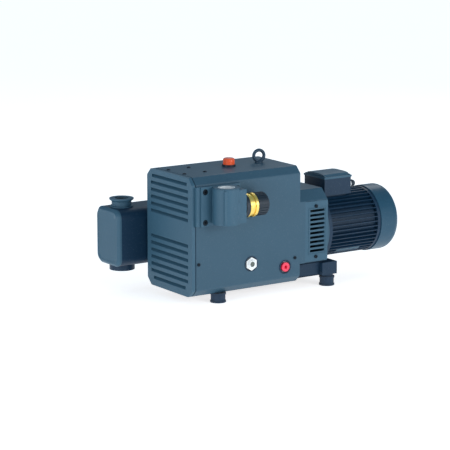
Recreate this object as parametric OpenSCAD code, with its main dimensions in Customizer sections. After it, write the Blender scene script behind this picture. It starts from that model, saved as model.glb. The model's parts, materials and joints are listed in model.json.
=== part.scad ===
// Rotary vane vacuum pump with a sound hood, a bell housing, a flange motor, a side inlet block with a
// vacuum relief valve, and a side exhaust silencer.
// Frame: X runs along the shaft from the louvred front to the motor, Z is up, and the origin lies at floor
// level in the middle of the four rubber feet. The inlet side is -Y.

/* [Hood] */
// Length from the louvred front face to the hood's rear edge
hood_l = 408; // [400:1:416]
// Width of the hood
hood_w = 258; // [256:1:262]
// Height of the hood, feet not included
hood_h = 374; // [372:1:380]
// Leg of the bevel along the hood's long edges
bevel = 22; // [18:1:26]
// Thickness of the hood's wall
wall = 3; // [2:0.5:4]
// Distance between two louvre slots
louvre_pitch = 22.3; // [21:0.1:22.5]
// Height of one louvre slot
louvre_gap = 10.5; // [8:0.5:12]

/* [Feet] */
// Distance between the feet along X
foot_pitch_x = 422; // [418:1:426]
// Distance between the feet along Y
foot_pitch_y = 200; // [190:1:206]
// Diameter of a rubber foot
foot_d = 50; // [40:1:50]
// Height of a rubber foot
foot_h = 30; // [28:1:32]

/* [Pump] */
// Height of the shaft above the floor
shaft_z = 180; // [179.5:0.1:180.5]
// Radius of the pump's bore
bore_r = 78; // [76:0.5:78]
// Radius of the rotor
rotor_r = 64; // [60:0.5:65]
// Length of the rotor
rotor_l = 199.4; // [198:0.1:199.4]
// Number of vanes
vane_count = 3; // [2:1:4]
// Thickness of a vane
vane_t = 5; // [4:0.5:6]

/* [Motor] */
// Radius of the motor's fan cover
cover_r = 109; // [106:1:112]
// Radius over the motor's fins
fin_r = 106; // [100:1:108]
// Number of cooling fins round the motor
fin_count = 44; // [24:1:48]
// Radius of the motor's flange
flange_r = 125; // [120:1:128]
// Radius of the motor's shaft end
motor_shaft_r = 14; // [12:0.5:15]

/* [Ports] */
// Radius of the inlet and outlet threads' bores
port_r = 22.4; // [20:0.1:23]
// Depth of a port's thread
port_l = 22; // [18:1:24]
// Radius of the relief valve's knob
knob_r = 36; // [32:1:38]

/* [Hidden] */
$fn = 64;

// Stations along X
front_x = -326;
panel_x = front_x + 12;
hood_x = panel_x + 3;
rear_x = front_x + hood_l;
bell_x = rear_x + 109;
frame_x = bell_x + 24;
cover_x = 427;
cover_end = 505;
cover_bend = 24;
// Heights and half widths
side_y = hood_w / 2;
top_z = foot_h + hood_h;
mid_z = foot_h + hood_h / 2;
floor_w = 105;
bush_h = 22;
// Pump
rotor_x0 = -190;
rotor_x1 = 10;
bore_z = shaft_z - (bore_r - rotor_r - 0.3);
pump_r = 96;
shaft_r = 17;
fit = 0.05;
gap = 0.3;
// Inlet block and its valve
inlet_x = -228;
inlet_y = -172;
inlet_top = 375;
gas_z = 310;
valve_y = -170;
valve_z = 311;
duct_x = -166;
duct_y = -60;
// Silencer
sil_x0 = -426;
sil_x1 = -176;
sil_y0 = 143;
sil_w = 137;
sil_z0 = 87;
sil_h = 183;
sil_y = sil_y0 + sil_w / 2;
sil_z = sil_z0 + sil_h / 2;
sil_port_x = -371;
exhaust_x = -253;
exhaust_z = 205;
// Fittings on the hood
filler_x = -103;
eye_x = 12;
glass_x = -106;
glass_z = 113;
drain_x = 24;
drain_z = 87;
tank_y = -122;
box_top = 390;
// Screw places: top of the hood, its sides, and the inlet flange
screw_tops = [[-299, -46], [-299, 46], [-224, -46], [-224, 46]];
screw_sides = [[-302, 134], [62, 112]];
inlet_holes = [for (x = [-286, -168], z = [266, 361]) [x, z]];
gland_rows = [-40, 0];
grille_holes = [for (z = [106, 270]) [144, z]];
feet = [for (sx = [-1, 1], sy = [-1, 1]) [sx * foot_pitch_x / 2, sy * foot_pitch_y / 2]];

// Extrudes a YZ outline along X, from x0 to x1
module along_x(x0, x1) {
    translate([x0, 0, 0]) rotate([90, 0, 90]) linear_extrude(x1 - x0) children();
}

// A cylinder along X, from x0 to x1, with its axis at y and z
module rod_x(x0, x1, r, y = 0, z = shaft_z, r2 = -1) {
    translate([x0, y, z]) rotate([0, 90, 0]) cylinder(h = x1 - x0, r1 = r, r2 = r2 < 0 ? r : r2);
}

// A cylinder along Y, from y0 to y1, with its axis at x and z
module rod_y(y0, y1, r, x, z) {
    translate([x, y1, z]) rotate([90, 0, 0]) cylinder(h = y1 - y0, r = r);
}

// A cylinder along Z, from z0 to z1, with its axis at x and y
module rod_z(z0, z1, r, x, y, r2 = -1) {
    translate([x, y, z0]) cylinder(h = z1 - z0, r1 = r, r2 = r2 < 0 ? r : r2);
}

// A box between two corners
module box(a, b) {
    translate(a) cube([b[0] - a[0], b[1] - a[1], b[2] - a[2]]);
}

// Rectangle with round corners, centred
module round_rect(w, h, r) {
    square([w - 2 * r, h], center = true);
    square([w, h - 2 * r], center = true);
    for (sx = [-1, 1], sy = [-1, 1]) translate([sx * (w / 2 - r), sy * (h / 2 - r)]) circle(r);
}

// Outline of a rectangle with bevelled corners of leg c, every corner eased with radius r
function soft_octagon(w, h, c, r, n = 4) =
    let (a = w / 2 - r, b = h / 2 - r, k = c - r * (2 - sqrt(2)),
        corners = [[a, b - k], [a - k, b], [k - a, b], [-a, b - k],
            [-a, k - b], [k - a, -b], [a - k, -b], [a, k - b]])
    [for (i = [0:7], t = [0:n]) corners[i] + r * [cos(45 * (i + t / n)), sin(45 * (i + t / n))]];

// The hood's outline in the YZ plane, inset by d
module hood_outline(d = 0) {
    translate([0, mid_z])
        polygon(soft_octagon(hood_w - 2 * d, hood_h - 2 * d, bevel - d * (2 - sqrt(2)), 10 - d / 2));
}

// Socket-head screw standing along +Z, its head's underside at z = 0
module socket_screw(d, l, head_r, head_h) {
    difference() {
        union() {
            cylinder(h = head_h, r = head_r);
            translate([0, 0, -l]) cylinder(h = l + 0.1, r = d / 2);
        }
        translate([0, 0, head_h * 0.45]) cylinder(h = head_h, r = d * 0.42, $fn = 6);
    }
}

// Hexagon-head screw standing along +Z, its head's underside at z = 0
module hex_screw(d, l, flats, head_h) {
    cylinder(h = head_h, r = flats / sqrt(3), $fn = 6);
    translate([0, 0, -l]) cylinder(h = l + 0.1, r = d / 2);
}

// A wire of radius wire wound at radius r about +Z, as a closed tube
module coil_spring(r, wire, turns, length, sides = 6, steps = 14) {
    count = turns * steps;
    points = [for (i = [0:count], k = [0:sides - 1])
        let (a = 360 * i / steps, b = 360 * k / sides, q = r + wire * cos(b))
        [q * cos(a), q * sin(a), length * i / count + wire * sin(b)]];
    sides_faces = [for (i = [0:count - 1], k = [0:sides - 1])
        let (m = (k + 1) % sides)
        [i * sides + k, (i + 1) * sides + k, (i + 1) * sides + m, i * sides + m]];
    first = [for (k = [0:sides - 1]) k];
    last = [for (k = [0:sides - 1]) count * sides + sides - 1 - k];
    polyhedron(points, concat(sides_faces, [first, last]), convexity = 10);
}

// Welded frame: floor plate, two rails and the rear foot bracket
module base_frame() {
    color([0.16, 0.21, 0.27]) difference() {
        union() {
            box([hood_x, -floor_w, foot_h], [rear_x, floor_w, foot_h + 6]);
            for (s = [-1, 1]) {
                box([hood_x + 12, s * 90 - 12, foot_h + 6], [230, s * 90 + 12, 42]);
                box([86, s * 102 - 10, 42], [230, s * 102 + 10, 81]);
                box([172, s * 104.5 - 24.5, 40], [230, s * 104.5 + 24.5, 81]);
                box([110, s * 100 - 8, 81], [188, s * 100 + 8, 89]);
            }
            box([172, -100, 40], [230, 100, 50]);
            for (s = [-1, 1]) rod_z(foot_h, 42, 20, foot_pitch_x / 2, s * foot_pitch_y / 2);
        }
        for (s = [-1, 1]) {
            box([90, s * 102 - 6, 38], [168, s * 102 + 6, 77]);
            box([176, s * 104.5 - 20, 52], [226, s * 104.5 + 20, 77]);
        }
        for (f = feet) rod_z(foot_h - 1, 60, 4.5, f[0], f[1]);
    }
}

// Rubber buffers of the feet
module foot_rubbers() {
    color([0.06, 0.06, 0.07]) for (f = feet) difference() {
        union() {
            rod_z(0, 5, foot_d / 2, f[0], f[1]);
            rod_z(5, foot_h - 5, foot_d / 2 - 2, f[0], f[1]);
            rod_z(foot_h - 5, foot_h, foot_d / 2, f[0], f[1]);
        }
        rod_z(-1, 2, 18, f[0], f[1]);
        rod_z(1, bush_h, 8, f[0], f[1]);
        rod_z(foot_h - 2, foot_h + 1, 18, f[0], f[1]);
    }
}

// Vulcanised plates: a tapped bush below, a stud above
module foot_plates() {
    color([0.7, 0.7, 0.7]) for (f = feet) {
        difference() {
            union() {
                rod_z(0, 2, 18, f[0], f[1]);
                rod_z(0, bush_h, 8, f[0], f[1]);
            }
            rod_z(-1, bush_h - 2, 4, f[0], f[1]);
        }
        rod_z(foot_h - 2, foot_h, 18, f[0], f[1]);
        rod_z(foot_h - 2, foot_h + 6, 4, f[0], f[1]);
    }
}

// Sheet-metal sound hood, open at both ends and over the floor plate
module hood() {
    color([0.2, 0.3, 0.38]) difference() {
        along_x(hood_x, rear_x) difference() {
            hood_outline();
            hood_outline(wall);
            translate([-floor_w, foot_h - 5]) square([2 * floor_w, 20]);
        }
        rod_z(top_z - 10, top_z + 1, 18, filler_x, 0);
        rod_z(top_z - 10, top_z + 1, 6, eye_x, 0);
        for (p = screw_tops) rod_z(top_z - 10, top_z + 1, 2.5, p[0], p[1]);
        for (p = screw_sides, s = [-1, 1]) rod_y(s * side_y - 5, s * side_y + 5, 2.5, p[0], p[1]);
        rod_y(-side_y - 5, -side_y + 5, 23, glass_x, glass_z);
        rod_y(-side_y - 5, -side_y + 5, 21.5, drain_x, drain_z);
        for (p = inlet_holes) rod_y(-side_y - 5, -side_y + 5, 5, p[0], p[1]);
        rod_y(-side_y - 5, -side_y + 5, 16, inlet_x, gas_z);
        rod_y(side_y - 5, side_y + 5, 20, exhaust_x, exhaust_z);
    }
}

// Heights of the louvre slots' centres, in an upper and a lower group
slots_up = [for (i = [0:5]) 382 - i * louvre_pitch];
slots_low = [for (i = [0:6]) 190 - i * louvre_pitch];

// Front frame with sloping louvre slots
module front_panel() {
    color([0.22, 0.33, 0.42]) difference() {
        union() {
            along_x(front_x, panel_x) hood_outline();
            along_x(panel_x, hood_x + 12) difference() {
                hood_outline(wall);
                hood_outline(wall + 3);
                translate([-floor_w, foot_h - 5]) square([2 * floor_w, 20]);
            }
        }
        for (z = concat(slots_up, slots_low)) {
            half = z > 370 ? 100 : z < 70 ? 92 : 107;
            translate([0, half, z]) rotate([90, 0, 0]) linear_extrude(2 * half) polygon([
                [front_x - 1, -louvre_gap / 2 - 0.5], [panel_x + 1, louvre_gap / 2],
                [panel_x + 1, louvre_gap / 2 + 5], [front_x - 1, louvre_gap / 2]]);
        }
        for (p = screw_tops) rod_z(top_z - 10, top_z + 1, 2.5, p[0], p[1]);
        for (p = screw_sides, s = [-1, 1]) rod_y(s * side_y - 9, s * side_y + 9, 2.5, p[0], p[1]);
    }
}

// Bulkhead that closes the hood behind the pump
module rear_panel() {
    color([0.2, 0.3, 0.38]) along_x(76, 79) difference() {
        hood_outline(wall);
        translate([-floor_w, foot_h - 5]) square([2 * floor_w, 17]);
        translate([0, shaft_z]) circle(62);
    }
}

// Button-head screws that hold the hood
module hood_screws() {
    color([0.4, 0.45, 0.5]) {
        for (p = screw_tops) translate([p[0], p[1], top_z]) socket_screw(5, 8, 5, 3);
        for (p = screw_sides, s = [-1, 1]) translate([p[0], s * side_y, p[1]]) rotate([-s * 90, 0, 0])
            socket_screw(5, 8, 5, 3);
    }
}

// Lifting eye with collar and shank
module eye_bolt() {
    color([0.35, 0.4, 0.45]) translate([eye_x, 0, 0]) {
        rod_z(top_z - 24, top_z + 1, 5, 0, 0);
        rod_z(top_z, top_z + 5, 12.5, 0, 0);
        rod_z(top_z + 4, top_z + 9, 12.5, 0, 0, 7);
        translate([0, 0, top_z + 23]) rotate([90, 0, -14]) rotate_extrude() translate([17.3, 0]) circle(5.2);
    }
}

// Post that carries the lifting eye's load down to the pump
module lifting_post() {
    color([0.5, 0.5, 0.52]) difference() {
        union() {
            box([-4, -20, 268], [32, 20, 275]);
            rod_z(274, top_z - wall, 11, eye_x, 0);
        }
        rod_z(top_z - 24, top_z + 1, 5, eye_x, 0);
    }
}

// Oil tank that cradles the pump
module oil_case() {
    color([0.35, 0.37, 0.4]) difference() {
        union() {
            box([-186, tank_y, 56], [52, -tank_y, 140]);
            box([-186, -106, 42], [52, 106, 57]);
        }
        difference() {
            union() {
                box([-181, tank_y + 5, 61], [47, -tank_y - 5, 135]);
                box([-181, -101, 47], [47, 101, 62]);
            }
            rod_x(-200, 60, pump_r + 5, 0, bore_z);
            rod_y(tank_y, tank_y + 14, 19, glass_x, glass_z);
            rod_y(tank_y, tank_y + 14, 17, drain_x, drain_z);
        }
        rod_x(-200, 60, pump_r, 0, bore_z);
        rod_y(tank_y - 1, tank_y + 20, 13, glass_x, glass_z);
        rod_y(tank_y - 1, tank_y + 20, 10.4, drain_x, drain_z);
    }
}

// Hexagonal body of the oil sight glass
module sight_glass_body() {
    color([0.9, 0.92, 0.92]) difference() {
        union() {
            translate([glass_x, tank_y, glass_z]) rotate([90, 0, 0]) rotate(30)
                cylinder(h = 11, r = 37 / sqrt(3), $fn = 6);
            rod_y(tank_y - 14, tank_y - 10, 13.5, glass_x, glass_z);
            rod_y(tank_y - 1, tank_y + 14, 13, glass_x, glass_z);
        }
        rod_y(tank_y - 15, tank_y - 10, 9, glass_x, glass_z);
        rod_y(tank_y - 11, tank_y + 15, 7, glass_x, glass_z);
    }
}

// Lens of the oil sight glass
module sight_glass_lens() {
    color([0.35, 0.45, 0.4]) rod_y(tank_y - 13, tank_y - 10, 9, glass_x, glass_z);
}

// Oil drain plug with a hexagon socket
module drain_plug() {
    color([0.9, 0.25, 0.35]) difference() {
        union() {
            rod_y(tank_y - 12, tank_y - gap, 14.5, drain_x, drain_z);
            rod_y(tank_y - 1, tank_y + 12, 10, drain_x, drain_z);
        }
        translate([drain_x, tank_y - 4, drain_z]) rotate([90, 0, 0]) cylinder(h = 10, r = 6, $fn = 6);
    }
}

// Box above the pump in which oil mist is taken out of the exhaust
module separator_box() {
    color([0.35, 0.37, 0.4]) difference() {
        box([-165, -24, 266], [-22, 112, box_top]);
        box([-160, -19, 271], [-21, 107, box_top - 5]);
        box([-130, 28, 265], [-30, 72, 272]);
        rod_z(box_top - 6, box_top + 1, 14, filler_x, 0);
        rod_x(-170, -155, 16, 80, 330);
    }
}

// Service cover of the separator box
module separator_cover() {
    color([0.3, 0.32, 0.35]) {
        box([-22, -24, 266], [-16, 112, box_top]);
        for (y = [-12, 100], z = [278, 378]) translate([-16, y, z]) rotate([0, 90, 0]) hex_screw(6, 5, 10, 4);
    }
}

// Two cartridges that catch the oil mist
module separator_elements() {
    color([0.85, 0.83, 0.75]) for (p = [[14, 340], [78, 320]]) difference() {
        union() {
            rod_x(-150, -26, 27, p[0], p[1]);
            rod_x(-160, -150, 29, p[0], p[1]);
            rod_x(-26, -22, 20, p[0], p[1]);
        }
        rod_x(-161, -32, 16, p[0], p[1]);
    }
}

// Reed plates over the exhaust openings, with their stops
module exhaust_reeds() {
    color([0.75, 0.76, 0.78]) for (x = [-105, -55]) {
        box([x - 18, 30, 266], [x + 18, 70, 267]);
        box([x - 8, 32, 267], [x + 8, 68, 271]);
    }
}

// Tube and collar of the oil filler
module filler_neck() {
    color([0.08, 0.09, 0.1]) difference() {
        union() {
            rod_z(box_top, top_z, 18, filler_x, 0);
            rod_z(top_z, top_z + 6, 21.5, filler_x, 0);
        }
        rod_z(box_top - 1, top_z + 7, 14, filler_x, 0);
    }
}

// Oil filler cap with grip flutes and a plug
module filler_cap() {
    color([0.95, 0.32, 0.16]) difference() {
        union() {
            rod_z(top_z + 6 + gap, top_z + 23, 18.5, filler_x, 0);
            rod_z(top_z + 23, top_z + 26, 18.5, filler_x, 0, 15);
            rod_z(top_z - 5, top_z + 7, 13.7, filler_x, 0);
        }
        for (i = [0:11]) rotate_about(filler_x, 30 * i) rod_z(top_z + 8, top_z + 30, 2, 19.5, 0);
    }
}

// Turns its children by a degrees about a vertical axis at x
module rotate_about(x, a) {
    translate([x, 0, 0]) rotate(a) children();
}

// Pump body with an eccentric bore, a suction boss and an exhaust boss
module pump_cylinder() {
    color([0.42, 0.43, 0.44]) difference() {
        union() {
            rod_x(rotor_x0, rotor_x1, pump_r, 0, bore_z);
            rod_z(200, 262, 22, duct_x, duct_y);
            box([-140, 26, 210], [-22, 74, 266]);
        }
        rod_x(rotor_x0 - 1, rotor_x1 + 1, bore_r, 0, bore_z);
        rod_z(190, 263, 15, duct_x, duct_y);
        for (x = [-105, -55], dx = [-10, 10]) rod_z(200, 267, 6, x + dx, 50);
        for (p = bolt_places()) rod_x(rotor_x0 - 1, rotor_x0 + 20, 4, p[0], p[1]);
        for (p = bolt_places()) rod_x(rotor_x1 - 20, rotor_x1 + 1, 4, p[0], p[1]);
    }
}

// Places of the cover bolts in the YZ plane
function bolt_places() = [for (a = [22.5:45:337.5]) [87 * cos(a), bore_z + 87 * sin(a)]];

// Closed front cover with a bush seat
module front_cover() {
    color([0.4, 0.41, 0.42]) difference() {
        union() {
            rod_x(-212, rotor_x0, pump_r, 0, bore_z);
            rod_x(-220, -211, 36);
        }
        rod_x(-212, rotor_x0 + 1, 23);
        for (p = bolt_places()) rod_x(-213, rotor_x0 + 1, 4, p[0], p[1]);
    }
}

// Rear cover with the bush and seal seats, and a boss for the lifting post
module rear_cover() {
    color([0.4, 0.41, 0.42]) difference() {
        union() {
            rod_x(rotor_x1, 32, pump_r, 0, bore_z);
            box([rotor_x1, -18, 240], [32, 18, 268]);
        }
        rod_x(rotor_x1 - 1, 33, 23);
        for (p = bolt_places()) rod_x(rotor_x1 - 1, 33, 4, p[0], p[1]);
    }
}

// Hexagon bolts of both covers
module cover_bolts() {
    color([0.6, 0.6, 0.6]) for (p = bolt_places()) {
        translate([-212, p[0], p[1]]) rotate([0, -90, 0]) hex_screw(8, 40, 13, 5.3);
        translate([32, p[0], p[1]]) rotate([0, 90, 0]) hex_screw(8, 40, 13, 5.3);
    }
}

// Slotted rotor on its shaft
module rotor() {
    x0 = (rotor_x0 + rotor_x1 - rotor_l) / 2;
    color([0.55, 0.55, 0.56]) difference() {
        union() {
            rod_x(x0, x0 + rotor_l, rotor_r);
            rod_x(-211, 145, shaft_r);
        }
        for (i = [0:vane_count - 1]) translate([x0 - 1, 0, shaft_z]) rotate([i * 360 / vane_count, 0, 0])
            translate([0, -vane_t / 2 - fit, 30]) cube([rotor_l + 2, vane_t + 2 * fit, 40]);
    }
}

// Sliding vanes, drawn pushed back into their slots
module vanes() {
    color([0.18, 0.17, 0.16]) for (i = [0:vane_count - 1])
        translate([(rotor_x0 + rotor_x1 - rotor_l) / 2, 0, shaft_z]) rotate([i * 360 / vane_count, 0, 0])
            translate([0, -vane_t / 2, 30]) cube([rotor_l, vane_t, rotor_r - 31]);
}

// Plain bearing bushes of the pump shaft
module shaft_bushes() {
    color([0.8, 0.62, 0.3]) for (x = [-212, rotor_x1]) difference() {
        rod_x(x, x + (x < 0 ? 22 : 12), 23);
        rod_x(x - 1, x + 23, shaft_r + fit);
    }
}

// Lip seal behind the rear bush
module shaft_seal() {
    color([0.1, 0.1, 0.11]) difference() {
        rod_x(22, 32, 23);
        rod_x(21, 33, shaft_r + fit);
        rod_x(26, 33, 20.5);
    }
}

// Finned oil cooler round the bell's neck
module oil_cooler() {
    color([0.7, 0.71, 0.72]) difference() {
        box([rear_x + 3, -112, 100], [97, 112, 280]);
        rod_x(rear_x, 98, 62);
        for (y = [-105 : 6 : 103]) box([rear_x, y, 106], [98, y + 3, 274]);
    }
    color([0.7, 0.71, 0.72]) {
        for (z = [150, 190, 230], s = [-1, 1]) box([88, s * 87 - 23.5, z], [92, s * 87 + 23.5, z + 4]);
    }
}

// Pipe along a chain of points, with balls at its bends
module pipe(points, r) {
    for (i = [0:len(points) - 2]) {
        a = points[i];
        b = points[i + 1];
        d = b - a;
        translate(a) rotate([0, acos(d[2] / norm(d)), atan2(d[1], d[0])]) cylinder(h = norm(d), r = r);
        if (i > 0) translate(a) sphere(r);
    }
}

// Suction pipe from the hood's wall to the pump, with its screwed plate
module intake_duct() {
    path = [[inlet_x, -side_y + wall, gas_z], [inlet_x, duct_y, gas_z], [duct_x, duct_y, gas_z],
        [duct_x, duct_y, 262]];
    color([0.35, 0.37, 0.4]) difference() {
        union() {
            box([-298, -side_y + wall, 256], [-156, -side_y + wall + 8, 371]);
            pipe(path, 20);
        }
        pipe(path, 15);
        rod_y(-side_y, -side_y + 20, 15, inlet_x, gas_z);
        rod_z(261, 264, 15, duct_x, duct_y);
        for (p = inlet_holes) rod_y(-side_y, -side_y + 12, 5, p[0], p[1]);
    }
}

// Exhaust pipe from the separator box to the hood's far wall
module exhaust_duct() {
    path = [[-165, 80, 330], [exhaust_x, 80, 330], [exhaust_x, 80, exhaust_z],
        [exhaust_x, side_y, exhaust_z]];
    color([0.35, 0.37, 0.4]) difference() {
        pipe(path, 20);
        pipe(path, 16);
        rod_x(-166, -164, 16, 80, 330);
        rod_y(side_y - 1, side_y + 1, 16, exhaust_x, exhaust_z);
    }
}

// Inlet block: flange, upright body, threaded port above and a branch for the relief valve
module inlet_block() {
    y = -side_y;
    color([0.22, 0.33, 0.42]) difference() {
        union() {
            box([-316, y - 10, 254], [-154, y, 377]);
            box([-302, y - 15, 254], [-156.5, y - 10, 377]);
            box([inlet_x - 34, inlet_y, 262], [inlet_x + 34, y, 372]);
            rod_z(262, 372, 42, inlet_x, inlet_y);
            box([inlet_x - 30, inlet_y - 36, 265], [-178, y, 369]);
            rod_y(inlet_y - 39, inlet_y, 23, inlet_x + 8, 313);
            rod_z(371, inlet_top, 41, inlet_x, inlet_y);
            rod_x(inlet_x, -174, 34, valve_y, valve_z);
        }
        rod_z(inlet_top - port_l, inlet_top + 1, port_r, inlet_x, inlet_y);
        rod_z(inlet_top - port_l - 6, inlet_top, 15, inlet_x, inlet_y);
        rod_z(290, inlet_top - port_l - 5, 20.5, inlet_x, inlet_y);
        rod_y(inlet_y, y + 1, 15, inlet_x, gas_z);
        rod_x(inlet_x, -173, 11, valve_y, valve_z);
        rod_x(-174, -150, 38.2, valve_y, valve_z);
        for (p = inlet_holes) {
            rod_y(y - 20, y + 1, 5, p[0], p[1]);
            rod_y(y - 20, y - 7, 9.5, p[0], p[1]);
        }
    }
}

// Socket screws of the inlet block
module inlet_screws() {
    color([0.1, 0.11, 0.12]) for (p = inlet_holes) translate([p[0], -side_y - 7, p[1]])
        rotate([90, 0, 0]) socket_screw(10, 17, 8, 7);
}

// Disc of the inlet check valve
module check_valve() {
    z = inlet_top - port_l - 5 - gap;
    color([0.75, 0.76, 0.78]) {
        rod_z(z - 4, z, 19.5, inlet_x, inlet_y);
        rod_z(z - 12, z - 3, 5, inlet_x, inlet_y);
    }
}

// Spring of the inlet check valve, drawn pressed
module check_spring() {
    color([0.75, 0.76, 0.78]) translate([inlet_x, inlet_y, 291]) coil_spring(13, 1.2, 4, 30);
}

// Flanged body of the relief valve
module relief_body() {
    color([0.07, 0.08, 0.09]) difference() {
        rod_x(-174, -160, 37, valve_y, valve_z);
        rod_x(-175, -159, 11, valve_y, valve_z);
    }
}

// Brass ring of the relief valve, with a groove and a chamber
module relief_ring() {
    color([0.85, 0.68, 0.25]) difference() {
        union() {
            rod_x(-160, -152, 37.5, valve_y, valve_z);
            rod_x(-152, -140, 34.5, valve_y, valve_z);
            rod_x(-140, -131, 37.5, valve_y, valve_z);
        }
        rod_x(-161, -130, 22, valve_y, valve_z);
    }
}

// Sprung poppet of the relief valve
module relief_poppet() {
    color([0.75, 0.76, 0.78]) {
        rod_x(-160 + gap, -156, 16, valve_y, valve_z);
        rod_x(-156, -142, 6, valve_y, valve_z);
    }
}

// Ribbed knob of the relief valve
module relief_knob() {
    x = -131 + gap;
    color([0.07, 0.08, 0.09]) difference() {
        union() {
            rod_x(x, -91, knob_r - 1, valve_y, valve_z);
            rod_x(-91, -87, knob_r - 1, valve_y, valve_z, knob_r - 5);
            for (i = [0:23]) translate([x + 3, valve_y, valve_z]) rotate([15 * i, 0, 0])
                translate([0, -1.8, knob_r - 4]) cube([36, 3.6, 4.6]);
        }
        rod_x(x - 1, -110, 22, valve_y, valve_z);
        rod_x(-90, -80, 20, valve_y, valve_z);
    }
}

// The silencer's outline in the YZ plane, inset by d
module silencer_outline(d = 0) {
    translate([sil_y, sil_z]) round_rect(sil_w - 2 * d, sil_h - 2 * d, 28 - d);
}

// Silencer shell with its side flange and a round boss below
module silencer_body() {
    color([0.2, 0.3, 0.38]) difference() {
        union() {
            along_x(sil_x0 + 14, sil_x1) silencer_outline();
            rod_y(side_y, sil_y0 + 20, 34, exhaust_x, exhaust_z);
            box([exhaust_x - 50, side_y, exhaust_z - 40], [exhaust_x + 50, side_y + 6, exhaust_z + 40]);
            rod_z(sil_z0 - 19, sil_z0 + 10, 40.5, sil_port_x, sil_y);
        }
        along_x(sil_x0 + 13, sil_x1 - 4) silencer_outline(4);
        rod_y(side_y - 1, sil_y0 + 30, 16, exhaust_x, exhaust_z);
        rod_z(sil_z0 - 10, sil_z0 + 12, 30, sil_port_x, sil_y);
        rod_z(sil_z0 + sil_h - 10, sil_z0 + sil_h + 1, 22, sil_port_x, sil_y);
    }
}

// End cap of the silencer, with an inner spigot
module silencer_cap() {
    color([0.26, 0.38, 0.47]) difference() {
        union() {
            along_x(sil_x0, sil_x0 + 14) silencer_outline();
            along_x(sil_x0 + 14, sil_x0 + 22) silencer_outline(4);
        }
        along_x(sil_x0 + 5, sil_x0 + 23) silencer_outline(8);
    }
}

// Upright outlet neck with a flared lip
module silencer_port() {
    z = sil_z0 + sil_h;
    color([0.22, 0.33, 0.42]) difference() {
        union() {
            rod_z(z, z + 4, 37, sil_port_x, sil_y);
            rod_z(z, z + 20, 31.5, sil_port_x, sil_y);
            rod_z(z + 18, z + 24, 31.5, sil_port_x, sil_y, 39);
            rod_z(z + 24, z + 28, 39, sil_port_x, sil_y);
        }
        rod_z(z - 1, z + 29, port_r, sil_port_x, sil_y);
    }
}

// Perforated tube inside the silencer
module silencer_core() {
    color([0.7, 0.7, 0.7]) difference() {
        rod_x(sil_x0 + 5, sil_x1 - 4, 32, sil_y, sil_z - 12);
        rod_x(sil_x0 + 4, sil_x1 - 8, 30, sil_y, sil_z - 12);
        for (x = [sil_x0 + 30 : 30 : sil_x1 - 30], a = [0, 90])
            translate([x, sil_y, sil_z - 12]) rotate([a, 0, 0]) cube([14, 8, 80], center = true);
    }
}

// Outline of the bell's square part in the YZ plane, half width w
module bell_outline(w, top = 320, low = 89) {
    polygon([[-w, low], [w, low], [w, top - 31], [w - 31, top], [31 - w, top], [-w, top - 31]]);
}

// Bell housing: neck to the pump, square body and round motor flange
module bell_housing() {
    color([0.2, 0.3, 0.38]) difference() {
        union() {
            rod_x(32, 40, 66);
            rod_x(32, 100, 62);
            along_x(rear_x, rear_x + 21) bell_outline(side_y);
            along_x(rear_x + 20, bell_x) bell_outline(side_y - 3);
            rod_x(bell_x - 6, bell_x + 12, flange_r);
        }
        rod_x(31, 101, 54);
        rod_x(96, bell_x + 13, 88);
        difference() {
            along_x(rear_x + 3, bell_x - 6) bell_outline(side_y - 9, 314, 95);
            rod_x(31, 100, 62);
        }
        for (s = [-1, 1]) box([112, s * side_y - 20, 118], [184, s * side_y + 20, 260]);
        for (p = grille_holes, s = [-1, 1]) rod_y(s * side_y - 12, s * side_y + 12, 3, p[0], p[1]);
    }
    color([0.2, 0.3, 0.38]) difference() {
        along_x(97, 100) bell_outline(side_y - 9, 314, 95);
        rod_x(90, 105, 100);
    }
}

// Slotted grilles in both flanks of the bell housing
module bell_grilles() {
    color([0.22, 0.33, 0.42]) for (s = [-1, 1]) difference() {
        box([rear_x + 21, s * (side_y - 1.5) - 1.5, 92], [bell_x, s * (side_y - 1.5) + 1.5, 286]);
        for (i = [0:9]) box([122, s * side_y - 5, 121.5 + i * 14.4], [178, s * side_y + 5, 129.5 + i * 14.4]);
        for (p = grille_holes) rod_y(s * side_y - 12, s * side_y + 12, 3, p[0], p[1]);
    }
}

// Socket screws of the grilles
module grille_screws() {
    color([0.1, 0.11, 0.12]) for (p = grille_holes, s = [-1, 1]) translate([p[0], s * side_y, p[1]])
        rotate([-s * 90, 0, 0]) socket_screw(6, 10, 5.5, 4);
}

// Cooling fan on the pump's shaft
module cooling_fan() {
    color([0.75, 0.76, 0.78]) difference() {
        union() {
            rod_x(104, 118, 34);
            rod_x(104, 106, 60);
            for (i = [0:11]) translate([104, 0, shaft_z]) rotate([30 * i, 0, 0]) translate([0, -1.2, 30])
                cube([14, 2.4, 54]);
        }
        rod_x(103, 119, shaft_r);
    }
}

// Coupling jaws: three bars set at turn a
module jaws(a, grow = 0) {
    for (i = [0:2]) rotate(a + 120 * i) translate([14 - grow, -6 - grow])
        square([17 + 2 * grow, 12 + 2 * grow]);
}

// Pump-side half of the shaft coupling
module pump_hub() {
    color([0.5, 0.5, 0.52]) {
        difference() {
            rod_x(118, 146, 32);
            rod_x(117, 145, shaft_r);
        }
        along_x(146, 157) translate([0, shaft_z]) jaws(0);
    }
}

// Elastic star between the coupling halves
module coupling_spider() {
    color([0.8, 0.25, 0.15]) along_x(146, 157.2) translate([0, shaft_z]) difference() {
        circle(30);
        circle(8);
        jaws(0);
        jaws(60, gap);
    }
}

// Motor-side half of the shaft coupling
module motor_hub() {
    color([0.5, 0.5, 0.52]) {
        difference() {
            rod_x(157.6, 190, 32);
            rod_x(160, 191, motor_shaft_r);
        }
        along_x(146.6, 157.6) translate([0, shaft_z]) jaws(60);
    }
}

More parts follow.
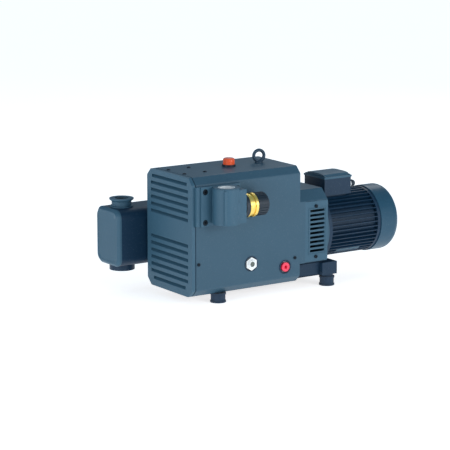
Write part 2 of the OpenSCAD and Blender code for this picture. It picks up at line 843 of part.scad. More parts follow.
// Round motor flange with its bearing seat and bolts
module motor_flange() {
    x = bell_x + 12;
    color([0.22, 0.33, 0.42]) {
        difference() {
            union() {
                rod_x(x, frame_x, flange_r);
                rod_x(x, x + 30, 42);
            }
            rod_x(x - 1, x + 10, 22);
            rod_x(x + 9, x + 31, 31);
        }
        for (a = [45:90:315]) translate([frame_x, 115 * cos(a), shaft_z + 115 * sin(a)]) rotate([0, 90, 0])
            hex_screw(10, 3, 17, 7);
    }
}

// Finned motor frame with the pad for the terminal box
module motor_frame() {
    color([0.2, 0.3, 0.38]) difference() {
        union() {
            along_x(frame_x, cover_x) translate([0, shaft_z]) circle(92);
            along_x(frame_x + 8, cover_x) translate([0, shaft_z]) for (i = [0:fin_count - 1])
                rotate(360 * (i + 0.5) / fin_count) translate([0, -1.5]) square([fin_r, 3]);
            along_x(cover_x - 12, cover_x) translate([0, shaft_z]) circle(fin_r);
            box([243, -42, 250], [329, 42, 290]);
        }
        rod_x(frame_x - 1, cover_x + 1, 84);
    }
}

// Stator stack with its winding heads
module stator() {
    color([0.55, 0.4, 0.3]) difference() {
        union() {
            rod_x(275, 385, 84);
            rod_x(250, 405, 78);
        }
        rod_x(249, 406, 60);
    }
}

// Motor shaft with the rotor core
module motor_rotor() {
    color([0.6, 0.6, 0.6]) {
        rod_x(160, 482, motor_shaft_r);
        rod_x(275, 385, 59.4);
        rod_x(262, 398, 50);
    }
}

// Ball bearings of the motor shaft
module motor_bearings() {
    color([0.7, 0.7, 0.72]) for (x = [bell_x + 22, cover_x - 17]) difference() {
        rod_x(x, x + 17, 31);
        rod_x(x - 1, x + 18, motor_shaft_r + fit);
        rod_x(x - 1, x + 1.5, 26);
        rod_x(x + 15.5, x + 18, 26);
    }
}

// Rear end shield with its bearing seat
module rear_shield() {
    color([0.2, 0.3, 0.38]) difference() {
        union() {
            rod_x(cover_x, cover_x + 8, 100);
            rod_x(cover_x - 20, cover_x + 12, 42);
            rod_x(cover_x - 8, cover_x + 1, 84);
        }
        rod_x(cover_x - 21, cover_x, 31);
        rod_x(cover_x - 1, cover_x + 13, motor_shaft_r + 2);
    }
}

// Radial fan of the motor
module motor_fan() {
    color([0.1, 0.1, 0.11]) difference() {
        union() {
            rod_x(446, 474, 26);
            rod_x(446, 449, 84);
            for (i = [0:8]) translate([448, 0, shaft_z]) rotate([40 * i, 0, 0]) translate([0, -1.5, 24])
                cube([24, 3, 58]);
        }
        rod_x(445, 479, motor_shaft_r);
    }
}

// Fan cover with a rounded rear edge and ring slots
module fan_cover() {
    color([0.2, 0.3, 0.38]) difference() {
        translate([0, 0, shaft_z]) rotate([0, 90, 0]) rotate_extrude($fn = 96) difference() {
            union() {
                translate([0, cover_x]) square([cover_r, cover_end - cover_x - cover_bend]);
                translate([0, cover_x]) square([cover_r - cover_bend, cover_end - cover_x]);
                translate([cover_r - cover_bend, cover_end - cover_bend]) circle(cover_bend);
            }
            translate([-1, cover_x - 1]) square([cover_r - 1.5, cover_end - cover_x - cover_bend + 1]);
            translate([-1, cover_x - 1]) square([cover_r - cover_bend + 1, cover_end - cover_x - 1.5]);
            translate([cover_r - cover_bend, cover_end - cover_bend]) circle(cover_bend - 2.5);
        }
        for (r = [20 : 12 : 80]) difference() {
            rod_x(cover_end - 4, cover_end + 1, r + 6);
            rod_x(cover_end - 5, cover_end + 2, r);
            for (a = [0, 45, 90, 135]) translate([cover_end - 6, 0, shaft_z]) rotate([a, 0, 0])
                translate([0, -3, -110]) cube([9, 6, 220]);
        }
    }
    color([0.2, 0.3, 0.38]) difference() {
        rod_x(cover_x, cover_x + 10, cover_r - 2.5);
        rod_x(cover_x - 1, cover_x + 11, 100);
    }
}

// Terminal box on the motor
module terminal_box() {
    color([0.2, 0.3, 0.38]) difference() {
        box([233, -55, 280], [339, 55, 335]);
        box([238, -50, 296], [334, 50, 336]);
        box([243, -42, 279], [329, 42, 290]);
        rod_x(232, 340, fin_r + 0.5);
        for (y = gland_rows) rod_x(330, 345, 8, y, 310);
    }
}

// Lid of the terminal box
module terminal_lid() {
    color([0.22, 0.33, 0.42]) {
        box([231, -57, 335], [341, 57, 341]);
        translate([286, 0, 341]) rotate([90, 0, 90]) translate([0, 0, -50]) linear_extrude(100)
            polygon([[-52, 0], [52, 0], [42, 7], [24, 9], [-24, 9], [-42, 7]]);
        for (x = [237, 335], y = [-51, 51]) translate([x, y, 341]) cylinder(h = 3, r = 3.6);
    }
}

// Two cable glands
module cable_glands() {
    color([0.08, 0.09, 0.1]) for (y = gland_rows) difference() {
        union() {
            translate([339, y, 310]) rotate([0, 90, 0]) cylinder(h = 7, r = 12, $fn = 6);
            rod_x(333, 340, 8, y, 310);
            rod_x(345, 362, 10, y, 310, 8);
        }
        rod_x(332, 363, 5, y, 310);
    }
}

base_frame();
foot_rubbers();
foot_plates();
hood();
front_panel();
rear_panel();
hood_screws();
eye_bolt();
lifting_post();
oil_case();
sight_glass_body();
sight_glass_lens();
drain_plug();
separator_box();
separator_cover();
separator_elements();
exhaust_reeds();
filler_neck();
filler_cap();
pump_cylinder();
front_cover();
rear_cover();
cover_bolts();
rotor();
vanes();
shaft_bushes();
shaft_seal();
oil_cooler();
intake_duct();
exhaust_duct();
inlet_block();
inlet_screws();
check_valve();
check_spring();
relief_body();
relief_ring();
relief_poppet();
relief_knob();
silencer_body();
silencer_cap();
silencer_port();
silencer_core();
bell_housing();
bell_grilles();
grille_screws();
cooling_fan();
pump_hub();
coupling_spider();
motor_hub();
motor_flange();
motor_frame();
stator();
motor_rotor();
motor_bearings();
rear_shield();
motor_fan();
fan_cover();
terminal_box();
terminal_lid();
cable_glands();
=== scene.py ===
import json
import math

import bmesh
import bpy
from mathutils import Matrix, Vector


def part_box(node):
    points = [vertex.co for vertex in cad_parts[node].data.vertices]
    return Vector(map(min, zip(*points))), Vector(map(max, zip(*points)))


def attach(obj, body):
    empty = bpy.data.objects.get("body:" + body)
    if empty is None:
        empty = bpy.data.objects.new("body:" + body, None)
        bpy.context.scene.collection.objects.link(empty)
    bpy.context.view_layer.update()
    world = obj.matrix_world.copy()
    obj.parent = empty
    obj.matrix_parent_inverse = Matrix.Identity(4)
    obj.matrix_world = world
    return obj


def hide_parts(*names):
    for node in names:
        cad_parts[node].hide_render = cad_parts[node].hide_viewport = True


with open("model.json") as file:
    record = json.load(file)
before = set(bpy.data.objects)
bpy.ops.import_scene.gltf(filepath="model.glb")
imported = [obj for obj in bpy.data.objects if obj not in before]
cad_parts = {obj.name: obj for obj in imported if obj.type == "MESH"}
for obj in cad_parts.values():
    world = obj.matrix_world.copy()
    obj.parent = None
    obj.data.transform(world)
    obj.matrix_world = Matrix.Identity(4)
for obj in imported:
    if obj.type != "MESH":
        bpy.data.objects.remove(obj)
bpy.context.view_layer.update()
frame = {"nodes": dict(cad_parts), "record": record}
NODES = frame["nodes"]
MM = 0.001


def srgb(r, g, b):
    """Linear colour from an sRGB triple of 0 to 255."""
    def lin(c):
        c = c / 255
        return c / 12.92 if c <= 0.04045 else ((c + 0.055) / 1.055) ** 2.4
    return (lin(r), lin(g), lin(b), 1)


# ---------------------------------------------------------------- camera and stage

scene = bpy.context.scene
cam_data = bpy.data.cameras.new("camera")
cam_data.sensor_width = 36
cam_data.lens = 161.4
cam_data.clip_end = 50
camera = bpy.data.objects.new("camera", cam_data)
camera.location = (-3.610, -5.187, 1.484)
camera.rotation_euler = Vector((0.5474, 0.8130, -0.1987)).to_track_quat("-Z", "Y").to_euler()
scene.collection.objects.link(camera)
scene.camera = camera


def area_light(name, place, target, size, power, colour=(1, 1, 1)):
    data = bpy.data.lights.new(name, "AREA")
    data.shape = "RECTANGLE"
    data.size, data.size_y = size
    data.energy = power
    data.color = colour
    lamp = bpy.data.objects.new(name, data)
    lamp.location = place
    lamp.rotation_euler = (Vector(target) - Vector(place)).to_track_quat("-Z", "Y").to_euler()
    scene.collection.objects.link(lamp)


area_light("key", (1.0, -3.6, 1.3), (0, 0, 0.2), (2.2, 1.4), 60)
area_light("front", (-4.0, -1.0, 0.9), (0, 0, 0.2), (1.6, 1.2), 42)
area_light("rim", (2.6, 2.4, 2.6), (0, 0, 0.3), (1.4, 1.0), 14)

world = bpy.data.worlds.new("studio")
world.use_nodes = True
sky = world.node_tree.nodes["Background"]
sky_mix = world.node_tree.nodes.new("ShaderNodeMix")
sky_mix.data_type = "RGBA"
sky_mix.inputs["A"].default_value = (0.24, 0.34, 0.42, 1)
sky_mix.inputs["B"].default_value = (1, 1, 1, 1)
world.node_tree.links.new(world.node_tree.nodes.new("ShaderNodeLightPath").outputs["Is Camera Ray"],
                          sky_mix.inputs["Factor"])
world.node_tree.links.new(sky_mix.outputs["Result"], sky.inputs[0])
scene.world = world
scene.view_settings.view_transform = "Standard"

# ---------------------------------------------------------------- materials


class Shade:
    """A small builder for procedural materials."""

    def __init__(self, name):
        self.mat = bpy.data.materials.new(name)
        self.mat.use_nodes = True
        self.tree = self.mat.node_tree
        self.bsdf = self.tree.nodes["Principled BSDF"]
        self.coords = self.tree.nodes.new("ShaderNodeTexCoord").outputs["Object"]

    def node(self, kind, **values):
        made = self.tree.nodes.new(kind)
        for key, value in values.items():
            setattr(made, key, value)
        return made

    def link(self, a, b):
        self.tree.links.new(a, b)

    def noise(self, scale, detail=4, rough=0.55, stretch=None):
        made = self.node("ShaderNodeTexNoise")
        made.inputs["Scale"].default_value = scale
        made.inputs["Detail"].default_value = detail
        made.inputs["Roughness"].default_value = rough
        source = self.coords
        if stretch:
            mapping = self.node("ShaderNodeMapping")
            mapping.inputs["Scale"].default_value = stretch
            self.link(source, mapping.inputs["Vector"])
            source = mapping.outputs[0]
        self.link(source, made.inputs["Vector"])
        return made.outputs["Fac"]

    def ramp(self, fac, stops):
        made = self.node("ShaderNodeValToRGB")
        ramp = made.color_ramp
        while len(ramp.elements) < len(stops):
            ramp.elements.new(0.5)
        for element, (at, colour) in zip(ramp.elements, stops):
            element.position = at
            element.color = colour
        self.link(fac, made.inputs["Fac"])
        return made.outputs["Color"]

    def levels(self, fac, low, high):
        made = self.node("ShaderNodeMapRange")
        made.inputs["From Min"].default_value = 0.3
        made.inputs["From Max"].default_value = 0.7
        made.inputs["To Min"].default_value = low
        made.inputs["To Max"].default_value = high
        self.link(fac, made.inputs["Value"])
        return made.outputs[0]

    def bump(self, *layers):
        normal = None
        for height, strength, distance in layers:
            made = self.node("ShaderNodeBump")
            made.inputs["Strength"].default_value = strength
            made.inputs["Distance"].default_value = distance
            self.link(height, made.inputs["Height"])
            if normal:
                self.link(normal, made.inputs["Normal"])
            normal = made.outputs[0]
        self.link(normal, self.bsdf.inputs["Normal"])

    def set(self, **values):
        for key, value in values.items():
            self.bsdf.inputs[key.replace("_", " ")].default_value = value


def scaled(colour, k):
    return (colour[0] * k, colour[1] * k, colour[2] * k, 1)


def mixed(a, b, k):
    return tuple(x + (y - x) * k for x, y in zip(a, b))


def make_paint(name, colour, rough=0.5, grain=900, coat=0.04):
    """Enamel: fine orange peel, faint cloudiness, small rubbed specks and a little dust in the roughness."""
    s = Shade(name)
    cloud = s.noise(9, 5)
    tone = s.ramp(cloud, [(0.3, scaled(colour, 0.98)), (0.7, scaled(colour, 1.02))])
    scuff = s.ramp(s.noise(160, 6, 0.7), [(0.55, (0, 0, 0, 1)), (0.8, (0.35, 0.35, 0.35, 1))])
    mix = s.node("ShaderNodeMix", data_type="RGBA")
    s.link(scuff, mix.inputs["Factor"])
    s.link(tone, mix.inputs["A"])
    mix.inputs["B"].default_value = mixed(colour, (0.30, 0.38, 0.45, 1), 0.3)
    s.link(mix.outputs["Result"], s.bsdf.inputs["Base Color"])
    s.link(s.levels(s.noise(35, 6, 0.6), rough - 0.01, rough + 0.02), s.bsdf.inputs["Roughness"])
    s.bump((s.noise(grain, 2), 0.10, 0.0004))
    s.set(Coat_Weight=coat, Coat_Roughness=0.25, Specular_IOR_Level=0.3)
    return s.mat


def make_metal(name, colour, rough=0.3, stretch=(1, 1, 1), scale=250, wear=0.15, strength=0.15, metallic=1.0):
    """Machined or plated metal with grain drawn along an axis and dull patches."""
    s = Shade(name)
    grain = s.noise(scale, 6, 0.7, stretch)
    patches = s.noise(22, 5)
    tone = s.ramp(patches, [(0.3, scaled(colour, 1 - wear)), (0.7, scaled(colour, 1 + wear * 0.5))])
    s.link(tone, s.bsdf.inputs["Base Color"])
    s.link(s.levels(grain, rough - 0.08, rough + 0.14), s.bsdf.inputs["Roughness"])
    s.bump((grain, strength, 0.0003))
    s.set(Metallic=metallic)
    return s.mat


def make_cast(name, colour, rough=0.6, metallic=0.7):
    """Sand-cast skin: coarse pits over a mottled tone."""
    s = Shade(name)
    pits = s.noise(420, 8, 0.75)
    tone = s.ramp(s.noise(30, 6), [(0.3, scaled(colour, 0.75)), (0.7, scaled(colour, 1.15))])
    s.link(tone, s.bsdf.inputs["Base Color"])
    s.link(s.levels(pits, rough - 0.1, rough + 0.15), s.bsdf.inputs["Roughness"])
    s.bump((pits, 0.5, 0.0006), (s.noise(80, 4), 0.25, 0.001))
    s.set(Metallic=metallic)
    return s.mat


def make_plastic(name, colour, rough=0.45, grain=700, strength=0.2, coat=0.0, sheen=0.0):
    """Moulded plastic or rubber: fine spark texture, slight tone drift and dull handling marks."""
    s = Shade(name)
    tone = s.ramp(s.noise(26, 5), [(0.3, scaled(colour, 0.85)), (0.7, scaled(colour, 1.12))])
    s.link(tone, s.bsdf.inputs["Base Color"])
    s.link(s.levels(s.noise(50, 6, 0.65), rough - 0.08, rough + 0.1), s.bsdf.inputs["Roughness"])
    s.bump((s.noise(grain, 5, 0.6), strength, 0.0004))
    s.set(Coat_Weight=coat, Coat_Roughness=0.12, Sheen_Weight=sheen)
    return s.mat


def make_pleats(name, colour):
    """Pleated filter paper: folds round the cartridge and a fibrous surface."""
    s = Shade(name)
    fibre = s.noise(800, 8, 0.8)
    tone = s.ramp(fibre, [(0.3, scaled(colour, 0.78)), (0.7, scaled(colour, 1.05))])
    s.link(tone, s.bsdf.inputs["Base Color"])
    wave = s.node("ShaderNodeTexWave", bands_direction="Y")
    wave.inputs["Scale"].default_value = 70
    s.link(s.coords, wave.inputs["Vector"])
    s.bump((wave.outputs["Fac"], 0.6, 0.002), (fibre, 0.4, 0.0004))
    s.set(Roughness=0.92, Sheen_Weight=0.25)
    return s.mat


def make_coils(name, colour):
    """Varnished winding wire: tight turns with glossy varnish."""
    s = Shade(name)
    wave = s.node("ShaderNodeTexWave", bands_direction="X")
    wave.inputs["Scale"].default_value = 160
    wave.inputs["Distortion"].default_value = 1.2
    s.link(s.coords, wave.inputs["Vector"])
    tone = s.ramp(wave.outputs["Fac"], [(0.2, scaled(colour, 0.5)), (0.8, scaled(colour, 1.2))])
    s.link(tone, s.bsdf.inputs["Base Color"])
    s.link(s.levels(s.noise(90, 5), 0.25, 0.45), s.bsdf.inputs["Roughness"])
    s.bump((wave.outputs["Fac"], 0.5, 0.0008))
    s.set(Metallic=0.4, Coat_Weight=0.5)
    return s.mat


BLUE = srgb(52, 84, 103)
MAT = {
    "paint_blue": make_paint("paint_blue", BLUE),
    "paint_light": make_paint("paint_light", srgb(55, 90, 110), rough=0.5),
    "paint_dark": make_paint("paint_dark", srgb(14, 46, 70), rough=0.44),
    "frame_paint": make_paint("frame_paint", srgb(18, 46, 68), rough=0.55, grain=1400, coat=0.02),
    "paint_cover": make_paint("paint_cover", srgb(34, 74, 96), rough=0.36),
    "rubber": make_plastic("rubber", srgb(12, 44, 68), rough=0.72, grain=1100, strength=0.35, sheen=0.1),
    "zinc": make_metal("zinc", srgb(176, 180, 184), rough=0.34, scale=180),
    "dark_screw": make_metal("dark_screw", srgb(40, 48, 56), rough=0.42, scale=300),
    "forged": make_cast("forged", srgb(52, 74, 92), rough=0.45, metallic=0.35),
    "cast": make_cast("cast", srgb(104, 108, 110)),
    "case_alu": make_cast("case_alu", srgb(150, 154, 158), rough=0.5, metallic=0.85),
    "cooler_alu": make_metal("cooler_alu", srgb(188, 190, 192), rough=0.3, stretch=(1, 1, 12)),
    "fan_alu": make_metal("fan_alu", srgb(186, 188, 192), rough=0.38, scale=120),
    "steel": make_metal("steel", srgb(150, 150, 152), rough=0.22, stretch=(0.4, 8, 8), scale=300),
    # reed_steel is bare steel with its base raised to near white (250), partly painted highlight for the
    # glint in the inlet's mouth
    "reed_steel": make_metal("reed_steel", srgb(250, 250, 250), rough=0.3, stretch=(8, 1, 1),
                             metallic=0.3),
    "bronze": make_metal("bronze", srgb(196, 150, 84), rough=0.35, stretch=(8, 0.6, 0.6)),
    "brass": make_metal("brass", srgb(255, 220, 120), rough=0.34, stretch=(14, 0.5, 0.5), scale=260,
                        wear=0.1),
    "vane_carbon": make_plastic("vane_carbon", srgb(42, 40, 38), rough=0.55, grain=500),
    "black_plastic": make_plastic("black_plastic", srgb(16, 34, 48), rough=0.5, grain=900),
    "cap_red": make_plastic("cap_red", srgb(255, 96, 44), rough=0.34, coat=0.4, grain=500, strength=0.12),
    "plug_red": make_plastic("plug_red", srgb(246, 48, 84), rough=0.3, coat=0.4, grain=400, strength=0.1),
    "glass_white": make_plastic("glass_white", srgb(236, 238, 238), rough=0.3, coat=0.4, strength=0.1),
    "filter_media": make_pleats("filter_media", srgb(226, 218, 190)),
    "spider_red": make_plastic("spider_red", srgb(184, 50, 28), rough=0.6),
    "winding": make_coils("winding", srgb(168, 96, 44)),
}


def make_lens():
    s = Shade("lens")
    drift = s.noise(120, 4)
    tone = s.ramp(drift, [(0.3, srgb(60, 78, 70)), (0.7, srgb(96, 110, 98))])
    s.link(tone, s.bsdf.inputs["Base Color"])
    s.link(s.levels(s.noise(300, 5), 0.04, 0.12), s.bsdf.inputs["Roughness"])
    s.bump((s.noise(90, 3), 0.06, 0.0004))
    s.set(Coat_Weight=1.0, Coat_Roughness=0.03, Transmission_Weight=0.25)
    return s.mat


MAT["lens"] = make_lens()
SLOT = {row["node"]: row["material_slot"] for row in frame["record"]["subparts"]}


def dress(obj, material):
    obj.data.materials.clear()
    obj.data.materials.append(MAT[material])


# These nodes look darker than the slot that the record gives them; for silencer_body, paint_dark is painted
# shade, the shadow of the hood on its near side.
LOOK = {"hood_screws": "dark_screw", "silencer_body": "paint_dark", "fan_cover": "paint_cover"}
for node_name, obj in NODES.items():
    dress(obj, LOOK.get(node_name, SLOT[node_name]))

# Small edge radii that catch the light; the CAD meshes themselves stay as packed.
EDGE = {
    "hood": 1.2, "front_panel": 0.8, "rear_panel": 0.6, "inlet_block": 1.6, "silencer_body": 1.4,
    "silencer_cap": 1.6, "silencer_port": 1.0, "bell_housing": 1.6, "bell_grilles": 0.5, "base_frame": 1.2,
    "relief_ring": 0.6, "relief_body": 0.8, "relief_knob": 0.5, "filler_cap": 0.9, "filler_neck": 0.6,
    "sight_glass_body": 0.8, "drain_plug": 0.8, "foot_rubbers": 1.4, "terminal_box": 1.6, "terminal_lid": 2.0,
    "motor_flange": 1.2, "motor_frame": 0.5, "cable_glands": 0.5, "hood_screws": 0.3, "grille_screws": 0.3,
    "inlet_screws": 0.4, "eye_bolt": 0.6, "fan_cover": 0.4,
}
for node_name, width in EDGE.items():
    bevel = NODES[node_name].modifiers.new("edge", "BEVEL")
    bevel.width = width * MM
    bevel.segments = 2
    bevel.limit_method = "ANGLE"
    bevel.angle_limit = math.radians(35)
    bevel.use_clamp_overlap = True
    bevel.harden_normals = False

# ---------------------------------------------------------------- stage


def mesh_object(name, verts, faces):
    mesh = bpy.data.meshes.new(name)
    mesh.from_pydata(verts, [], faces)
    mesh.update()
    obj = bpy.data.objects.new(name, mesh)
    scene.collection.objects.link(obj)
    return obj


floor = mesh_object("floor", [(-12, -12, 0), (12, -12, 0), (12, 12, 0), (-12, 12, 0)], [(0, 1, 2, 3)])
sweep = Shade("pale_floor")
floor_tone = sweep.ramp(sweep.noise(3, 3), [(0.3, (0.93, 0.93, 0.935, 1)), (0.7, (0.95, 0.95, 0.95, 1))])
sweep.link(floor_tone, sweep.bsdf.inputs["Base Color"])
sweep.set(Roughness=0.8, Emission_Color=(1, 0.97, 0.95, 1), Emission_Strength=0.72)
floor.data.materials.append(sweep.mat)

# ---------------------------------------------------------------- piece builders


def smooth(obj, angle=35):
    for poly in obj.data.polygons:
        poly.use_smooth = True
    obj.data.set_sharp_from_angle(angle=math.radians(angle))


def piece(name, verts, faces, material, body="machine", bevel=0.0, replaces=()):
    """A mesh piece given in millimetres, dressed and riding on a body."""
    obj = mesh_object(name, [Vector(v) * MM for v in verts], faces)
    tidy = bmesh.new()
    tidy.from_mesh(obj.data)
    bmesh.ops.remove_doubles(tidy, verts=tidy.verts, dist=1e-6)
    bmesh.ops.recalc_face_normals(tidy, faces=tidy.faces)
    tidy.to_mesh(obj.data)
    tidy.free()
    dress(obj, material)
    smooth(obj)
    if bevel:
        edge = obj.modifiers.new("edge", "BEVEL")
        edge.width = bevel * MM
        edge.segments = 2
        edge.limit_method = "ANGLE"
        edge.angle_limit = math.radians(35)
    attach(obj, body)
    if replaces:
        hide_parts(*replaces)
    return obj


def loft(rings, closed_ends=True, loop=False):
    """Vertices and faces of a skin over rings of equal length."""
    n = len(rings[0])
    verts = [p for ring in rings for p in ring]
    faces = []
    for k in range(len(rings) if loop else len(rings) - 1):
        a, b = k * n, ((k + 1) % len(rings)) * n
        faces += [(a + i, a + (i + 1) % n, b + (i + 1) % n, b + i) for i in range(n)]
    if closed_ends and not loop:
        faces.append(tuple(range(n)))
        faces.append(tuple(range((len(rings) - 1) * n, len(rings) * n)))
    return verts, faces


def merge(*parts):
    verts, faces = [], []
    for v, f in parts:
        faces += [tuple(i + len(verts) for i in face) for face in f]
        verts += list(v)
    return verts, faces


def spin(profile, centre, axis, steps=64, loop=True):
    """A ring: profile points are (distance along the axis, radius), all turned about it."""
    axis = Vector(axis).normalized()
    side = axis.orthogonal().normalized()
    other = axis.cross(side)
    rings = []
    for along, radius in profile:
        rings.append([Vector(centre) + axis * along + (side * math.cos(t) + other * math.sin(t)) * radius
                      for t in (2 * math.pi * i / steps for i in range(steps))])
    return loft(rings, closed_ends=not loop, loop=loop)


def block(low, high):
    x0, y0, z0 = low
    x1, y1, z1 = high
    ring0 = [(x0, y0, z0), (x1, y0, z0), (x1, y1, z0), (x0, y1, z0)]
    ring1 = [(x, y, z1) for x, y, _ in ring0]
    return loft([ring0, ring1])


def thread(centre, radius, depth, pitch, turns, steps=48):
    """Inner thread ridge: a triangular wire wound down a vertical bore."""
    rings = []
    for i in range(int(turns * steps) + 1):
        t = 2 * math.pi * i / steps
        z = -pitch * i / steps
        out = Vector((math.cos(t), math.sin(t), 0))
        base = Vector(centre) + Vector((0, 0, z))
        root = base + out * (radius + 0.05)
        half_width = Vector((0, 0, 0.32 * pitch))
        rings.append([root + half_width, base + out * (radius - depth), root - half_width])
    return loft(rings)


def octagon(half_w, half_h, cut, radius=8.0, steps=5):
    """Outline of a box with bevelled, eased corners, as (y, z) pairs."""
    a, b = half_w - radius, half_h - radius
    k = cut - radius * (2 - math.sqrt(2))
    centres = [(a, b - k), (a - k, b), (k - a, b), (-a, b - k),
               (-a, k - b), (k - a, -b), (a - k, -b), (a, k - b)]
    return [(cy + radius * math.cos(math.radians(45 * (i + t / steps))),
             cz + radius * math.sin(math.radians(45 * (i + t / steps))))
            for i, (cy, cz) in enumerate(centres) for t in range(steps + 1)]


def at_x(outline, x, y, z):
    return [Vector((x, y + p[0], z + p[1])) for p in outline]


def centre_of(node):
    a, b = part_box(node)
    return (a + b) / 2 / MM


def low_of(node):
    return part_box(node)[0] / MM


def high_of(node):
    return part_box(node)[1] / MM


# ---------------------------------------------------------------- hood details

hood_low, hood_high = low_of("hood"), high_of("hood")
hood_mid = (hood_low + hood_high) / 2
side_y = hood_high.y
hood_half_h = hood_high.z - hood_mid.z
panel_back = hood_low.x
HOOD_BEVEL = 22
BEVEL_SHRINK = 0.586  # how much shorter the bevel's leg gets for each millimetre of inset

# Acoustic foam behind the louvres, with wedge rows; its corners follow the hood's bevels
FOAM_HALF_W, FOAM_HALF_H = 120, 178
FOAM_CORNER = 281  # half width plus half height at the bevels
FOAM_ROWS = 26
foam_back = panel_back + 11
rows = []
for i in range(2 * FOAM_ROWS + 1):
    dz = (i / FOAM_ROWS - 1) * FOAM_HALF_H
    half = min(FOAM_HALF_W, FOAM_CORNER - abs(dz))
    crest = panel_back + (0.5 if i % 2 else 6)
    corners = ((crest, -half), (crest, half), (foam_back, half), (foam_back, -half))
    rows.append([Vector((x, y, hood_mid.z + dz)) for x, y in corners])
piece("louvre_foam", *loft(rows), "rubber")

# Rubber seal in the gap between the front frame and the hood
SEAL_SECTION = ((2.0, -2.9), (2.9, -2.9), (2.9, -0.1), (2.0, -0.1))  # (inset, distance past the hood's edge)
seal_rings = []
for inset, past in SEAL_SECTION:
    outline = octagon(side_y - inset, hood_half_h - inset, HOOD_BEVEL - inset * BEVEL_SHRINK)
    seal_rings.append(at_x(outline, panel_back + past, hood_mid.y, hood_mid.z))
piece("hood_seal", *loft(seal_rings, loop=True), "rubber")

# Washers under the small hood screws
WASHER_PROFILE = [(0, 5.1), (0.8, 5.1), (0.8, 7), (0, 7.3)]
washers = [spin(WASHER_PROFILE, (x, y, hood_high.z), (0, 0, 1), 32) for x in (-299, -224) for y in (-46, 46)]
piece("hood_washers", *merge(*washers), "rubber")

# Dark bezels round the sight glass and the drain plug
BEZELS = (("glass_bezel", "sight_glass_body", 21.6, 24.5), ("drain_bezel", "drain_plug", 18.5, 22.8))
for name, fitting, inner, outer in BEZELS:
    mid = centre_of(fitting)
    profile = [(-2.5, inner), (1.2, inner), (1.8, inner + 0.6), (1.8, outer - 0.6), (1.2, outer),
               (-0.1, outer), (-0.1, inner + 0.7), (-2.5, inner + 0.7)]
    piece(name, *spin(profile, (mid.x, -side_y, mid.z), (0, -1, 0), 64), "rubber")

# ---------------------------------------------------------------- ports and valve

PORT_R = 22.4
THREAD_DEPTH, THREAD_PITCH = 0.9, 2.3
INLET_X, INLET_Y, INLET_TOP = -228, -172, 375
OUTLET_X, OUTLET_Y, OUTLET_TOP = -371, 211.5, 295
# Thread ridges in near-white reed_steel: bare metal, partly painted highlight for the glint in the inlet's
# mouth
piece("inlet_thread", *thread((INLET_X, INLET_Y, INLET_TOP - 2.8), PORT_R, THREAD_DEPTH, THREAD_PITCH, 7.5),
      "reed_steel")
# Bare machined bore and chamfer of the inlet; its near-white reed_steel is partly painted highlight, the
# glint in the port's mouth
LINER_PROFILE = [(-20, 22.15), (-0.9, 22.15), (0.2, 23.6), (0.25, 26.5), (0.02, 26.6), (0.02, 23.8),
                 (-1.2, 22.38), (-20, 22.38)]
piece("inlet_liner", *spin(LINER_PROFILE, (INLET_X, INLET_Y, INLET_TOP), (0, 0, 1), 96), "reed_steel")
piece("outlet_thread", *thread((OUTLET_X, OUTLET_Y, OUTLET_TOP), PORT_R, THREAD_DEPTH, THREAD_PITCH, 9.5),
      "steel")


def rounded(half_w, half_h, radius, steps=8):
    """Outline of a rectangle with round corners, as (y, z) pairs."""
    points = []
    for i, (sy, sz) in enumerate(((1, 1), (-1, 1), (-1, -1), (1, -1))):
        for t in range(steps + 1):
            a = math.radians(90 * (i + t / steps))
            points.append((sy * (half_w - radius) + radius * math.cos(a),
                           sz * (half_h - radius) + radius * math.sin(a)))
    return points


# Silencer end cap: bevelled face with a shallow inner panel, as (depth, inset) steps from the rear
CAP_STEPS = ((22, 4.0), (14, 4.0), (14, 0.0), (8, 0.0), (7, 0.4), (1, 7.0), (0, 8.2), (0, 14.0),
             (0.8, 15.0), (0.8, 24.0))
CAP_CORNER_R = 28
cap_low, cap_high = low_of("silencer_cap"), high_of("silencer_cap")
cap_mid = (cap_low + cap_high) / 2
cap_half = (cap_high - cap_low) / 2
cap_rings = []
for depth, inset in CAP_STEPS:
    outline = rounded(cap_half.y - inset, cap_half.z - inset, CAP_CORNER_R - inset * 0.6)
    cap_rings.append(at_x(outline, cap_low.x + depth, cap_mid.y, cap_mid.z))
piece("silencer_face", *loft(cap_rings), "paint_light", replaces=["silencer_cap"])

# ---------------------------------------------------------------- motor details

SHAFT_Z = 180
NEAR_SIDE, FAR_SIDE = 52, 128  # angles of the two pads, down from the near side


def pad(x0, x1, angle, radius, width, height):
    """A flat pad standing on the fins."""
    a = math.radians(angle)
    out = Vector((0, -math.cos(a), -math.sin(a)))
    along = Vector((0, math.sin(a), -math.cos(a)))
    corners = ((x0, -width / 2), (x1, -width / 2), (x1, width / 2), (x0, width / 2))
    rings = [[Vector((x, 0, SHAFT_Z)) + out * r + along * across for x, across in corners]
             for r in (radius, radius + height)]
    return loft(rings)


pads = [pad(272, 366, angle, 96, 17, 9.5) for angle in (NEAR_SIDE, FAR_SIDE)]
piece("motor_pads", *merge(*pads), "paint_light", bevel=1)

# Gasket in the parting line between the bell housing and the motor's flange
ring_x = low_of("motor_flange").x
piece("flange_gasket", *spin([(-0.5, 112), (-0.5, 125.3), (0.5, 125.3), (0.5, 112)], (ring_x, 0, SHAFT_Z),
                             (1, 0, 0), 96), "rubber")

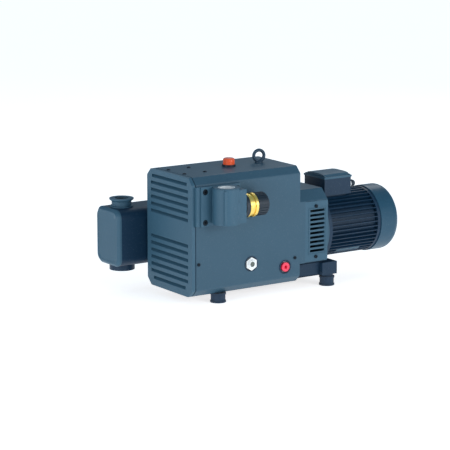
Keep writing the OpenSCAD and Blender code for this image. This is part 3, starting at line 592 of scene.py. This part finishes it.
# A raised frame round the slots of each grille
RIM_LOW, RIM_HIGH = (115, 113), (184, 264)  # outer corners as (x, z)
RIM_WIDTH, RIM_HEIGHT = 3, 1.2
rim_left, rim_right = RIM_LOW[0] + RIM_WIDTH, RIM_HIGH[0] - RIM_WIDTH
rim_bottom, rim_top = RIM_LOW[1] + RIM_WIDTH, RIM_HIGH[1] - RIM_WIDTH
for side, name in ((-1, "near"), (1, "far")):
    low_y, high_y = sorted((side * side_y, side * (side_y + RIM_HEIGHT)))
    bars = [block((RIM_LOW[0], low_y, rim_bottom), (rim_left, high_y, rim_top)),
            block((rim_right, low_y, rim_bottom), (RIM_HIGH[0], high_y, rim_top)),
            block((RIM_LOW[0], low_y, RIM_LOW[1]), (RIM_HIGH[0], high_y, rim_bottom)),
            block((RIM_LOW[0], low_y, rim_top), (RIM_HIGH[0], high_y, RIM_HIGH[1]))]
    piece(f"grille_rim_{name}", *merge(*bars), "paint_light", bevel=0.4)

# Weld beads of the base frame
BEAD_PROFILE = [(-1.4, 0.1), (-0.9, 1.6), (0.9, 1.6), (1.4, 0.1)]
BEADS, BEAD_STEP = 24, 1.9
beads = [spin(BEAD_PROFILE, (171.4, side * (82 + k * BEAD_STEP), 50.4), (0, 1, 0), 8, loop=False)
         for side in (-1, 1) for k in range(BEADS)]
piece("weld_beads", *merge(*beads), "frame_paint")

# Moulded ring round the lens of the sight glass
RING_PROFILE = [(-0.1, 8.4), (1.1, 8.4), (1.6, 9.2), (1.6, 11.6), (1.1, 12.2), (-0.1, 12.2)]
glass_front = low_of("sight_glass_body").y
glass_mid = centre_of("sight_glass_body")
piece("glass_rings", *spin(RING_PROFILE, (glass_mid.x, glass_front, glass_mid.z), (0, -1, 0), 48),
      "glass_white")

# Sealing rings and domed nuts of the cable glands
GLAND_Z = 310
SEAL_PROFILE = [(0.1, 8.5), (0.1, 13.6), (1.6, 14.4), (3.2, 14.4), (4.4, 13.2), (4.4, 8.5)]
NUT_PROFILE = [(7, 5.2), (7, 11.6), (8, 12.6), (14, 12.6), (15, 11.4), (20, 10.6), (22.5, 8.2), (22.5, 5.2)]
gland_face = high_of("terminal_box").x
gland_places = [(gland_face, y, GLAND_Z) for y in (-40, 0)]
piece("gland_rings", *merge(*[spin(SEAL_PROFILE, place, (1, 0, 0), 32) for place in gland_places]),
      "glass_white")
piece("gland_nuts", *merge(*[spin(NUT_PROFILE, place, (1, 0, 0), 12) for place in gland_places]),
      "black_plastic", bevel=0.4)
